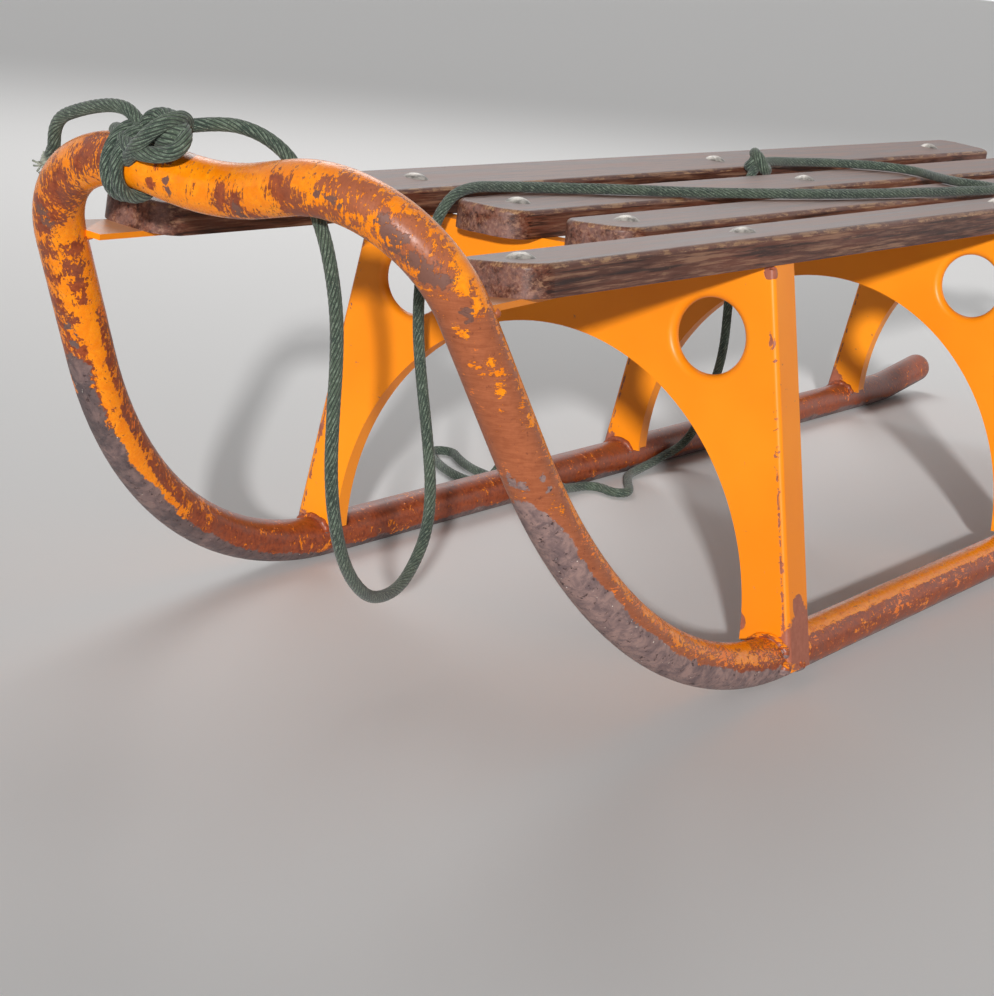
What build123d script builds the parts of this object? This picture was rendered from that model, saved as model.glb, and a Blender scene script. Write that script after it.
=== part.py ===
from build123d import *
import os
from math import acos, atan2, cos, pi, sin, sqrt, tan

os.makedirs("parts", exist_ok=True)

# Child's sled: bent tube runners, three pressed steel cross-members, a dished seat of four slats.
# Millimetres. +X points forward to the bow, +Y to the sled's left, +Z up.
# Origin on the floor, midway between the runners, at the middle of the sled's length.

# Runner tube
TUBE_D = 25.0
TUBE_R = TUBE_D / 2
TRACK = 311.0           # between the runner centre lines
BEND_X = 462.3          # where the floor line and the bow line cross
BEND_R = 285.5
BOW_X = 619.5           # bow corner
BOW_HALF = 108.2
BOW_Z = 279.2
CORNER_R = 64.0
DENT_BACK = 14.5        # the crossbar is knocked back and down near its middle
DENT_Y = -6.0
DENT_DOWN = 24.2
DENT_R = 106.0
JOINT_BACK = 2.9        # straight tube on the bow behind its lower bend
TAIL_BEND_X = -541.0
TAIL_X = -619.0
TAIL_RISE = 9.5
TAIL_R = 180.0

# Seat slats
SLAT_W = 48.0
SLAT_T = 16.0
SLAT_PITCH = 71.3
SLAT_END_R = 15.0
SLAT_EDGE = 3.0
SEAT_Z = 234.1          # seat surface on the centre line
DISH_R = 1240.0
INNER_LEAD = 27.0       # inner slats, past the front cross-member
OUTER_LEAD = 23.5       # outer slats, past their tab's bolt
REAR_LEAD = 95.5        # all slats, past the rear cross-member

# Cross-members
FRONT_X = 311.0
MIDDLE_X = -61.5
REAR_X = -451.5
SHEET = 2.0
SIDE_FLANGE = 24.0
TOP_FLANGE = 16.0
ARCH_FLANGE = 11.0
SPLAY = atan2(35.8, 196.3)
ARCH_A = 138.1
ARCH_B = 149.5
ARCH_Z = 22.2
FOOT_Z = 20.0
FLANGE_FOOT_Z = 8.5
HOLE_Y = 97.8
HOLE_Z = 181.0
HOLE_R = 21.0
LIP_BEND = 4.5          # outer radius of the hole's pressed lip
LIP_END = 1.0           # straight wall at the lip's end
FOLD_R = 3.0            # outer radius of the sheet's folds
CORNER_CUT = 2.5        # open corner where the top and side folds meet

# Coach bolts
BOLT_BACK = 8.5         # behind each cross-member's front face
BOLT_R = 3.0
HEAD_R = 7.3
HEAD_H = 2.8
HEAD_MID_R = 0.62       # a point on the dome: share of the head's radius, and of its height
HEAD_MID_H = 0.66
NUT_AF = 10.0
NUT_H = 5.0
BOLT_END = 2.0
TAB_BOLT_X = 524.5

# Front tabs
TAB_T = 3.0
TAB_REAR = 509.0
TAB_FRONT = 579.0
TAB_REAR_HALF = 10.0
TAB_OUT = 20.0          # how far the tab's front corner stands outside the bolt line

# Rope
ROPE_D = 6.5
ROPE_R = ROPE_D / 2
ROPE_GAP = 0.3          # between the rope and what it goes round
ROPE_SHARE = 0.45       # of the shorter run, taken by each bend


def seat_point(y, drop=0.0):
    """Point on the dished seat surface at y, moved down square to it."""
    n_y = -y / DISH_R
    n_z = sqrt(1 - n_y * n_y)
    z = SEAT_Z + DISH_R - sqrt(DISH_R * DISH_R - y * y)
    return y - drop * n_y, z - drop * n_z


def seat_plane(x, y, drop=0.0):
    """Plane on the slat at y: local X forward, local Z square out of the seat."""
    p_y, p_z = seat_point(y, drop)
    n_y = -y / DISH_R
    return Plane(origin=(x, p_y, p_z), x_dir=(1, 0, 0), z_dir=(0, n_y, sqrt(1 - n_y * n_y)))


def rope_radii(points):
    """Bend radius at each inner point, from the shorter run beside it."""
    radii = []
    for a, b, c in zip(points, points[1:], points[2:]):
        u = [q - p for p, q in zip(a, b)]
        v = [q - p for p, q in zip(b, c)]
        run_u = sqrt(sum(i * i for i in u))
        run_v = sqrt(sum(i * i for i in v))
        dot = sum(i * j for i, j in zip(u, v)) / (run_u * run_v)
        half = 0.5 * atan2(sqrt(max(0.0, 1 - dot * dot)), dot)
        radii.append(ROPE_SHARE * min(run_u, run_v) / tan(half))
    return radii


STATIONS = (("front", FRONT_X), ("middle", MIDDLE_X), ("rear", REAR_X))
INNER_Y = SLAT_PITCH / 2
OUTER_Y = SLAT_PITCH + INNER_Y
INNER_FRONT = FRONT_X + INNER_LEAD
OUTER_FRONT = TAB_BOLT_X + OUTER_LEAD
SLAT_REAR = REAR_X - REAR_LEAD
SLATS = (
    ("outer_right", -OUTER_Y, OUTER_FRONT),
    ("inner_right", -INNER_Y, INNER_FRONT),
    ("inner_left", INNER_Y, INNER_FRONT),
    ("outer_left", OUTER_Y, OUTER_FRONT),
)
SIDES = (("left", 1), ("right", -1))

# Tube
HALF_TRACK = TRACK / 2
UPRIGHT = (BOW_X - BEND_X, HALF_TRACK - BOW_HALF, BOW_Z - TUBE_R)
UPRIGHT_TURN = acos(UPRIGHT[0] / sqrt(sum(i * i for i in UPRIGHT)))
JOINT_X = BEND_X - BEND_R * tan(UPRIGHT_TURN / 2) - JOINT_BACK

for side, s in SIDES:
    with BuildPart() as runner:
        with BuildLine() as runner_line:
            FilletPolyline(
                (JOINT_X, s * HALF_TRACK, TUBE_R),
                (TAIL_BEND_X, s * HALF_TRACK, TUBE_R),
                (TAIL_X, s * HALF_TRACK, TUBE_R + TAIL_RISE),
                radius=TAIL_R,
            )
        with BuildSketch(Plane(origin=runner_line.line @ 0, z_dir=runner_line.line % 0)):
            Circle(TUBE_R)
        sweep(path=runner_line.line)
        with Locations((TAIL_X, s * HALF_TRACK, TUBE_R + TAIL_RISE)):
            Sphere(TUBE_R)
    runner.part.label = f"{side}_runner"
    export_step(runner.part, f"parts/{side}_runner.step")

with BuildPart() as bow:
    with BuildLine() as bow_line:
        FilletPolyline(
            (JOINT_X, HALF_TRACK, TUBE_R),
            (BEND_X, HALF_TRACK, TUBE_R),
            (BOW_X, BOW_HALF, BOW_Z),
            (BOW_X - DENT_BACK, DENT_Y, BOW_Z - DENT_DOWN),
            (BOW_X, -BOW_HALF, BOW_Z),
            (BEND_X, -HALF_TRACK, TUBE_R),
            (JOINT_X, -HALF_TRACK, TUBE_R),
            radius=(BEND_R, CORNER_R, DENT_R, CORNER_R, BEND_R),
        )
    with BuildSketch(Plane(origin=bow_line.line @ 0, z_dir=bow_line.line % 0)):
        Circle(TUBE_R)
    sweep(path=bow_line.line)
bow.part.label = "bow"
export_step(bow.part, "parts/bow.step")

# Cross-members
TANGENT_Y = HALF_TRACK + TUBE_R * cos(SPLAY)
TANGENT_Z = TUBE_R + TUBE_R * sin(SPLAY)


def leg_y(z, out=0.0):
    """Half width at the leg's outer flange at height z, moved out square to it."""
    return TANGENT_Y - (z - TANGENT_Z) * tan(SPLAY) + out / cos(SPLAY)


def seat_lands(drop):
    """Flats under the slats from right to left, each square to its own slat."""
    points = []
    for name, y, front in SLATS:
        p_y, p_z = seat_point(y, drop)
        u_y = sqrt(1 - (y / DISH_R) ** 2)
        u_z = y / DISH_R
        points.append((p_y - u_y * SLAT_W / 2, p_z - u_z * SLAT_W / 2))
        points.append((p_y + u_y * SLAT_W / 2, p_z + u_z * SLAT_W / 2))
    # the end points slide along their land to the flange's outer face
    slope = OUTER_Y / DISH_R
    slope = slope / sqrt(1 - slope * slope)
    y0, z0 = points[-1]
    z_end = (z0 + slope * (leg_y(0, SHEET) - y0)) / (1 + slope * tan(SPLAY))
    points[-1] = (leg_y(z_end, SHEET), z_end)
    points[0] = (-leg_y(z_end, SHEET), z_end)
    return points


LIP_R = HOLE_R + LIP_BEND
top = seat_lands(SLAT_T)
under = seat_lands(SLAT_T + SHEET)
CORNER_Y, CORNER_Z = top[-1]

for station, x in STATIONS:
    front_face = Plane.YZ.offset(x)
    with BuildPart() as member:
        with BuildSketch(front_face):
            with BuildLine():
                Polyline(*top, (leg_y(FOOT_Z, SHEET), FOOT_Z), (-leg_y(FOOT_Z, SHEET), FOOT_Z), close=True)
            make_face()
            with Locations((0, ARCH_Z)):
                Ellipse(ARCH_A, ARCH_B, mode=Mode.SUBTRACT)
                Rectangle(2 * ARCH_A, 4 * (ARCH_Z - FOOT_Z), mode=Mode.SUBTRACT)
            with Locations((HALF_TRACK, TUBE_R), (-HALF_TRACK, TUBE_R)):
                Circle(TUBE_R, mode=Mode.SUBTRACT)
            with Locations((HOLE_Y, HOLE_Z), (-HOLE_Y, HOLE_Z)):
                Circle(LIP_R, mode=Mode.SUBTRACT)
        extrude(amount=-SHEET)
        if x > JOINT_X:
            add(bow.part, mode=Mode.SUBTRACT)
        with BuildSketch(front_face):
            for side, s in SIDES:
                with BuildLine():
                    Polyline(
                        (s * leg_y(FLANGE_FOOT_Z), FLANGE_FOOT_Z),
                        (s * leg_y(FLANGE_FOOT_Z, SHEET), FLANGE_FOOT_Z),
                        (s * CORNER_Y, CORNER_Z),
                        (s * leg_y(under[-1][1]), under[-1][1]),
                        close=True,
                    )
                make_face()
        extrude(amount=-SIDE_FLANGE)
        with BuildSketch(front_face):
            with BuildLine():
                Polyline(*top, *reversed(under), close=True)
            make_face()
        extrude(amount=-TOP_FLANGE)
        with BuildSketch(front_face):
            with Locations((0, ARCH_Z)):
                Ellipse(ARCH_A + SHEET, ARCH_B + SHEET)
                Ellipse(ARCH_A, ARCH_B, mode=Mode.SUBTRACT)
            with Locations((0, ARCH_Z - ARCH_B)):
                Rectangle(4 * ARCH_A, 2 * ARCH_B, mode=Mode.SUBTRACT)
        extrude(amount=-ARCH_FLANGE)
        for side, s in SIDES:
            rim_axis = Axis((x, s * HOLE_Y, HOLE_Z), (1, 0, 0))
            with BuildSketch(Plane(origin=(x, s * HOLE_Y, HOLE_Z), x_dir=(1, 0, 0), z_dir=(0, -1, 0))):
                with BuildLine():
                    CenterArc((-LIP_BEND, LIP_R), LIP_BEND, 0, -90)
                    Polyline(
                        (-LIP_BEND, HOLE_R),
                        (-LIP_BEND - LIP_END, HOLE_R),
                        (-LIP_BEND - LIP_END, HOLE_R + SHEET),
                        (-LIP_BEND, HOLE_R + SHEET),
                    )
                    CenterArc((-LIP_BEND, LIP_R), LIP_BEND - SHEET, -90, 90)
                    Polyline((-SHEET, LIP_R), (-SHEET, LIP_R + SHEET / 2), (0, LIP_R + SHEET / 2), (0, LIP_R))
                make_face()
            revolve(axis=rim_axis)
        for name, y, front in SLATS:
            with Locations(seat_plane(x - BOLT_BACK, y, SLAT_T + SHEET / 2).location):
                Cylinder(BOLT_R, 2 * SHEET, mode=Mode.SUBTRACT)
        # round the fold between the web and each side flange, and open the corner above it
        for side, s in SIDES:
            fold = Plane(
                origin=(x, s * leg_y(0, SHEET), 0),
                x_dir=(-1, 0, 0),
                z_dir=(0, -s * sin(SPLAY), cos(SPLAY)),
            )
            with BuildSketch(fold):
                Rectangle(FOLD_R, FOLD_R, align=(Align.MIN, Align.MIN if s > 0 else Align.MAX))
                with Locations((FOLD_R, s * FOLD_R)):
                    Circle(FOLD_R, mode=Mode.SUBTRACT)
            extrude(amount=SEAT_Z, mode=Mode.SUBTRACT)
            with Locations((x, s * CORNER_Y, CORNER_Z)):
                Box(2 * CORNER_CUT, 2 * CORNER_CUT, 2 * CORNER_CUT, mode=Mode.SUBTRACT)
    member.part.label = f"{station}_cross_member"
    export_step(member.part, f"parts/{station}_cross_member.step")

# Seat
for name, y, front in SLATS:
    length = front - SLAT_REAR
    with BuildPart() as slat:
        with BuildSketch(seat_plane((front + SLAT_REAR) / 2, y, SLAT_T)):
            RectangleRounded(length, SLAT_W, SLAT_END_R)
        extrude(amount=SLAT_T)
        fillet(slat.faces().sort_by(Axis.Z)[-1].edges(), SLAT_EDGE)
        stations = [x - BOLT_BACK for station, x in STATIONS]
        if front > TAB_BOLT_X:
            stations.append(TAB_BOLT_X)
        for x in stations:
            with Locations(seat_plane(x, y, SLAT_T / 2).location):
                Cylinder(BOLT_R, 2 * SLAT_T, mode=Mode.SUBTRACT)
    slat.part.label = f"slat_{name}"
    export_step(slat.part, f"parts/slat_{name}.step")

# Front tabs
for side, s in SIDES:
    y = s * OUTER_Y
    with BuildPart() as tab:
        with BuildSketch(seat_plane(0, y, SLAT_T + TAB_T)):
            with BuildLine():
                Polyline(
                    (TAB_REAR, -s * TAB_REAR_HALF),
                    (TAB_REAR, s * TAB_REAR_HALF),
                    (TAB_FRONT, s * TAB_OUT),
                    (TAB_FRONT, -s * TAB_REAR_HALF),
                    close=True,
                )
            make_face()
        extrude(amount=TAB_T)
        add(bow.part, mode=Mode.SUBTRACT)
        with Locations(seat_plane(TAB_BOLT_X, y, SLAT_T + TAB_T / 2).location):
            Cylinder(BOLT_R, 2 * TAB_T, mode=Mode.SUBTRACT)
    tab.part.label = f"{side}_tab"
    export_step(tab.part, f"parts/{side}_tab.step")

# Coach bolts: with a nut under each cross-member, screwed into the tabs and flush below them
BOLTS = []
for name, y, front in SLATS:
    for station, x in STATIONS:
        BOLTS.append((f"{station}_{name}", x - BOLT_BACK, y, SHEET, True))
    if front > TAB_BOLT_X:
        BOLTS.append((f"tab_{name}", TAB_BOLT_X, y, TAB_T, False))

for name, x, y, under_t, has_nut in BOLTS:
    grip = SLAT_T + under_t
    length = grip + NUT_H + BOLT_END if has_nut else grip
    head_seat = seat_plane(x, y)
    up = head_seat.z_dir
    with BuildPart() as bolt:
        with BuildSketch(Plane(origin=head_seat.origin, x_dir=(1, 0, 0), z_dir=(0, -up.Z, up.Y))):
            with BuildLine():
                ThreePointArc((0, HEAD_H), (HEAD_R * HEAD_MID_R, HEAD_H * HEAD_MID_H), (HEAD_R, 0))
                Polyline((HEAD_R, 0), (BOLT_R, 0), (BOLT_R, -length), (0, -length), (0, HEAD_H))
            make_face()
        revolve(axis=Axis(head_seat.origin, up))
    bolt.part.label = f"bolt_{name}"
    export_step(bolt.part, f"parts/bolt_{name}.step")

    if has_nut:
        with BuildPart() as nut:
            with BuildSketch(seat_plane(x, y, grip + NUT_H)):
                RegularPolygon(NUT_AF / 2, 6, major_radius=False)
                Circle(BOLT_R, mode=Mode.SUBTRACT)
            extrude(amount=NUT_H)
        nut.part.label = f"nut_{name}"
        export_step(nut.part, f"parts/nut_{name}.step")

# Rope
# The main length runs from the bar knot over the bar, hangs as the pulling loop, lies along the seat,
# turns back to the seat knot, drops between the slats and ends on the floor beyond the right runner.
ROPE_PATH = (
    (614.0, -25.0, 283.0),
    (604.0, -8.0, 287.5),
    (597.0, 9.0, 285.0),
    (594.0, 25.0, 276.0),
    (594.0, 36.0, 262.0),
    (591.0, 44.0, 245.0),
    (584.0, 45.5, 226.0),
    (575.0, 43.5, 205.0),
    (569.0, 41.0, 183.0),
    (566.5, 39.5, 157.0),
    (564.0, 39.0, 128.0),
    (554.0, 36.5, 101.0),
    (533.0, 30.0, 74.0),
    (502.0, 20.0, 53.5),
    (471.0, 8.5, 43.0),
    (442.0, 0.5, 41.0),
    (419.0, -6.5, 48.5),
    (401.0, -12.0, 62.5),
    (388.5, -20.0, 81.5),
    (378.5, -31.5, 105.0),
    (369.0, -45.0, 132.5),
    (362.0, -56.0, 161.0),
    (356.0, -62.0, 191.0),
    (349.0, -62.0, 216.0),
    (333.0, -62.5, 235.0),
    (311.0, -62.5, 240.0),
    (281.0, -61.0, 239.0),
    (241.0, -51.0, 238.3),
    (186.0, -28.0, 238.0),
    (139.0, -10.0, 237.0),
    (85.0, 17.0, 238.0),
    (21.0, 40.0, 238.3),
    (-49.0, 57.5, 239.0),
    (-101.0, 68.0, 239.4),
    (-135.0, 76.5, 239.8),
    (-158.0, 74.5, 239.8),
    (-169.0, 56.0, 239.2),
    (-177.0, 34.0, 238.4),
    (-200.0, 8.0, 237.6),
    (-220.0, -13.0, 237.9),
    (-221.0, -34.0, 238.3),
    (-205.0, -49.0, 238.7),
    (-180.0, -62.0, 239.1),
    (-152.0, -71.0, 239.4),
    (-123.0, -75.5, 239.9),
    (-95.0, -76.5, 241.3),
    (-71.0, -74.5, 239.8),
    (-51.0, -71.0, 225.0),
    (-44.0, -70.5, 201.0),
    (-44.0, -71.0, 167.0),
    (-47.0, -71.5, 138.0),
    (-54.0, -74.5, 112.0),
    (-68.0, -84.0, 88.0),
    (-90.0, -101.0, 64.0),
    (-115.0, -119.0, 42.0),
    (-129.5, -128.5, 31.0),
    (-132.0, -134.5, 21.5),
    (-125.0, -138.3, 14.0),
    (-107.0, -139.6, 10.6),
    (-88.0, -140.6, 6.6),
    (-69.0, -141.2, 4.0),
    (-48.0, -137.5, 3.6),
    (-27.0, -125.5, 3.6),
    (-8.0, -112.5, 3.6),
    (3.0, -109.5, 3.6),
    (9.5, -117.0, 3.6),
    (3.0, -130.5, 3.6),
    (8.0, -140.0, 3.6),
    (24.0, -141.8, 3.8),
    (43.0, -139.5, 7.0),
    (59.0, -137.5, 14.5),
    (68.0, -142.0, 24.5),
    (73.0, -151.5, 30.5),
    (75.0, -162.5, 29.5),
    (75.0, -172.0, 21.5),
    (74.0, -179.0, 10.5),
    (72.0, -191.0, 4.2),
    (67.0, -210.0, 3.6),
    (54.0, -232.0, 3.6),
    (34.0, -255.0, 3.6),
    (17.0, -271.0, 3.6),
    (5.0, -269.0, 3.6),
    (3.0, -258.0, 3.6),
    (15.0, -246.5, 3.6),
    (29.0, -230.0, 3.6),
    (41.0, -211.0, 3.6),
    (47.0, -191.0, 3.6),
)
TAIL_PATH = (
    (615.0, -42.0, 279.0),
    (612.0, -53.0, 287.0),
    (610.0, -65.0, 288.3),
    (607.0, -79.0, 286.0),
    (602.5, -94.0, 281.0),
    (598.0, -107.0, 275.5),
    (593.0, -116.5, 268.0),
    (590.0, -121.5, 258.5),
    (586.0, -128.0, 252.5),
)

# Bar knot: two turns round the crossbar with the tied part in front of and above it
BAR_TURNS = (0.5455, 0.552)     # along the bow's length
BAR_KNOT = (619.0, -38.0, 278.5)
BAR_KNOT_L = 44.0
BAR_KNOT_R = 9.5
BAR_KNOT_END = 7.0
# Seat knot, over the gap between two slats
SEAT_KNOT = (-74.0, -75.0, 241.0)
SEAT_KNOT_L = 18.5
SEAT_KNOT_R = 9.0
SEAT_KNOT_END = 6.5

for name, points in (("rope", ROPE_PATH), ("rope_tail", TAIL_PATH)):
    radii = rope_radii(points)
    with BuildPart() as rope:
        with BuildLine() as rope_line:
            FilletPolyline(*points, radius=radii)
        with BuildSketch(Plane(origin=rope_line.line @ 0, z_dir=rope_line.line % 0)):
            Circle(ROPE_R)
        sweep(path=rope_line.line)
    length = sum(edge.length for edge in rope_line.line.edges())
    print(name, "length", round(length, 1), "volume", round(rope.part.volume / (length * pi * ROPE_R ** 2), 4))
    print("  radii", [round(r) for r in radii])
    rope.part.label = name
    export_step(rope.part, f"parts/{name}.step")
    if name == "rope":
        rope_part = rope.part
    else:
        tail_part = rope.part

with BuildPart() as bow_clearance:
    with BuildSketch(Plane(origin=bow_line.line @ 0, z_dir=bow_line.line % 0)):
        Circle(TUBE_R + 2 * ROPE_GAP)
    sweep(path=bow_line.line)

with BuildPart() as bar_knot:
    with Locations(Plane(origin=BAR_KNOT, x_dir=(1, 0, 0), z_dir=(0, 1, 0)).location):
        Cylinder(BAR_KNOT_R, BAR_KNOT_L)
    fillet(bar_knot.edges().filter_by(GeomType.CIRCLE), BAR_KNOT_END)
    add(bow_clearance.part, mode=Mode.SUBTRACT)
    for turn in BAR_TURNS:
        with Locations(Plane(origin=bow_line.line @ turn, z_dir=bow_line.line % turn).location):
            Torus(TUBE_R + ROPE_R + ROPE_GAP, ROPE_R)
    add(rope_part, mode=Mode.SUBTRACT)
    add(tail_part, mode=Mode.SUBTRACT)
bar_knot.part.label = "bar_knot"
export_step(bar_knot.part, "parts/bar_knot.step")

with BuildPart() as seat_knot:
    with Locations(Plane(origin=SEAT_KNOT, x_dir=(0, 1, 0), z_dir=(1, 0, 0)).location):
        Cylinder(SEAT_KNOT_R, SEAT_KNOT_L)
    fillet(seat_knot.edges().filter_by(GeomType.CIRCLE), SEAT_KNOT_END)
    add(rope_part, mode=Mode.SUBTRACT)
seat_knot.part.label = "seat_knot"
export_step(seat_knot.part, "parts/seat_knot.step")
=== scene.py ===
import bpy
import random
from math import cos, pi, radians, sin
from mathutils import Matrix, Vector


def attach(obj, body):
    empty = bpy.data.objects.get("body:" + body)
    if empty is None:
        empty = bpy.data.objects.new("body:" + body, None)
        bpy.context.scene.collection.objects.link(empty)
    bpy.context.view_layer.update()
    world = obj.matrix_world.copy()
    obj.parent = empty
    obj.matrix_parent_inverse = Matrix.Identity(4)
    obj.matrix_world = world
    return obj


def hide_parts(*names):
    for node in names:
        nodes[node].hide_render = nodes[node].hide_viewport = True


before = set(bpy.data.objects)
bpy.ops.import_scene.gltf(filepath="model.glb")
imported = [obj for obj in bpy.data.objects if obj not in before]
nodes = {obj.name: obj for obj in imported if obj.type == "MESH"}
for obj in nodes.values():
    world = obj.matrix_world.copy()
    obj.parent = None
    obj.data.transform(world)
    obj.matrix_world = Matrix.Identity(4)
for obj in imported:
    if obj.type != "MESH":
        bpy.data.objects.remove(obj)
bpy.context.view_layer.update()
bpy.ops.object.select_all(action="DESELECT")

TUBE_R = 0.0125
ROPE_D = 0.0065
ROPE_LAY = 0.048        # length of one full turn of the strands
STRANDS = 11
FACES_PER_STRAND = 4
FACES_ROUND = FACES_PER_STRAND * STRANDS
GROOVE_DEPTH = 0.10     # between two strands, against the rope's radius
SAME_POINT = 0.00001    # two points of a line that are nearer than this are one

# The rope's route, from the bar knot to its end on the floor
ROPE_ROUTE = (
    (0.6140, -0.0250, 0.2830),
    (0.6040, -0.0080, 0.2875),
    (0.5970, 0.0090, 0.2850),
    (0.5940, 0.0250, 0.2760),
    (0.5940, 0.0360, 0.2620),
    (0.5910, 0.0440, 0.2450),
    (0.5840, 0.0455, 0.2260),
    (0.5750, 0.0435, 0.2050),
    (0.5690, 0.0410, 0.1830),
    (0.5665, 0.0395, 0.1570),
    (0.5640, 0.0390, 0.1280),
    (0.5540, 0.0365, 0.1010),
    (0.5330, 0.0300, 0.0740),
    (0.5020, 0.0200, 0.0535),
    (0.4710, 0.0085, 0.0430),
    (0.4420, 0.0005, 0.0410),
    (0.4190, -0.0065, 0.0485),
    (0.4010, -0.0120, 0.0625),
    (0.3885, -0.0200, 0.0815),
    (0.3785, -0.0315, 0.1050),
    (0.3690, -0.0450, 0.1325),
    (0.3620, -0.0560, 0.1610),
    (0.3560, -0.0620, 0.1910),
    (0.3490, -0.0620, 0.2160),
    (0.3330, -0.0625, 0.2350),
    (0.3110, -0.0625, 0.2400),
    (0.2810, -0.0610, 0.2390),
    (0.2410, -0.0510, 0.2383),
    (0.1860, -0.0280, 0.2380),
    (0.1390, -0.0100, 0.2370),
    (0.0850, 0.0170, 0.2380),
    (0.0210, 0.0400, 0.2383),
    (-0.0490, 0.0575, 0.2390),
    (-0.1010, 0.0680, 0.2394),
    (-0.1350, 0.0765, 0.2398),
    (-0.1580, 0.0745, 0.2398),
    (-0.1690, 0.0560, 0.2392),
    (-0.1770, 0.0340, 0.2384),
    (-0.2000, 0.0080, 0.2376),
    (-0.2200, -0.0130, 0.2379),
    (-0.2210, -0.0340, 0.2383),
    (-0.2050, -0.0490, 0.2387),
    (-0.1800, -0.0620, 0.2391),
    (-0.1520, -0.0710, 0.2394),
    (-0.1230, -0.0755, 0.2399),
    (-0.0950, -0.0765, 0.2413),
    (-0.0710, -0.0745, 0.2398),
    (-0.0510, -0.0710, 0.2250),
    (-0.0440, -0.0705, 0.2010),
    (-0.0440, -0.0710, 0.1670),
    (-0.0470, -0.0715, 0.1380),
    (-0.0540, -0.0745, 0.1120),
    (-0.0680, -0.0840, 0.0880),
    (-0.0900, -0.1010, 0.0640),
    (-0.1150, -0.1190, 0.0420),
    (-0.1295, -0.1285, 0.0310),
    (-0.1320, -0.1345, 0.0215),
    (-0.1250, -0.1383, 0.0140),
    (-0.1070, -0.1396, 0.0106),
    (-0.0880, -0.1406, 0.0066),
    (-0.0690, -0.1412, 0.0040),
    (-0.0480, -0.1375, 0.0036),
    (-0.0270, -0.1255, 0.0036),
    (-0.0080, -0.1125, 0.0036),
    (0.0030, -0.1095, 0.0036),
    (0.0095, -0.1170, 0.0036),
    (0.0030, -0.1305, 0.0036),
    (0.0080, -0.1400, 0.0036),
    (0.0240, -0.1418, 0.0038),
    (0.0430, -0.1395, 0.0070),
    (0.0590, -0.1375, 0.0145),
    (0.0680, -0.1420, 0.0245),
    (0.0730, -0.1515, 0.0305),
    (0.0750, -0.1625, 0.0295),
    (0.0750, -0.1720, 0.0215),
    (0.0740, -0.1790, 0.0105),
    (0.0720, -0.1910, 0.0042),
    (0.0670, -0.2100, 0.0036),
    (0.0540, -0.2320, 0.0036),
    (0.0340, -0.2550, 0.0036),
    (0.0170, -0.2710, 0.0036),
    (0.0050, -0.2690, 0.0036),
    (0.0030, -0.2580, 0.0036),
    (0.0150, -0.2465, 0.0036),
    (0.0290, -0.2300, 0.0036),
    (0.0410, -0.2110, 0.0036),
    (0.0470, -0.1910, 0.0036),
)

TAIL_ROUTE = (
    (0.6150, -0.0420, 0.2790),
    (0.6120, -0.0530, 0.2870),
    (0.6100, -0.0650, 0.2883),
    (0.6070, -0.0790, 0.2862),
    (0.6030, -0.0950, 0.2822),
    (0.5985, -0.1095, 0.2775),
    (0.5950, -0.1165, 0.2700),
    (0.5910, -0.1195, 0.2600),
    (0.5865, -0.1285, 0.2535),
)

# Camera, at the photograph's viewing angle
PHOTO_WIDTH, PHOTO_HEIGHT = 994, 996    # pixels
EYE = Vector((1.42557, 0.66563, 0.38167))
YAW, PITCH, ROLL = radians(-148.20), radians(-13.58), radians(5.57)
FOCAL_LENGTH, SENSOR_WIDTH = 84.58, 36.0    # mm
NEAREST_SEEN = 0.05

look = Vector((cos(YAW) * cos(PITCH), sin(YAW) * cos(PITCH), sin(PITCH)))
level = Vector((sin(YAW), -cos(YAW), 0.0))
above = level.cross(look)
right = cos(ROLL) * level + sin(ROLL) * above
up = cos(ROLL) * above - sin(ROLL) * level
camera_data = bpy.data.cameras.new("camera")
camera_data.lens = FOCAL_LENGTH
camera_data.sensor_width = SENSOR_WIDTH
camera_data.sensor_fit = "HORIZONTAL"
camera_data.clip_start = NEAREST_SEEN
camera = bpy.data.objects.new("camera", camera_data)
camera.matrix_world = Matrix((
    (right.x, up.x, -look.x, EYE.x),
    (right.y, up.y, -look.y, EYE.y),
    (right.z, up.z, -look.z, EYE.z),
    (0.0, 0.0, 0.0, 1.0),
))
bpy.context.collection.objects.link(camera)
bpy.context.scene.camera = camera


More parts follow.
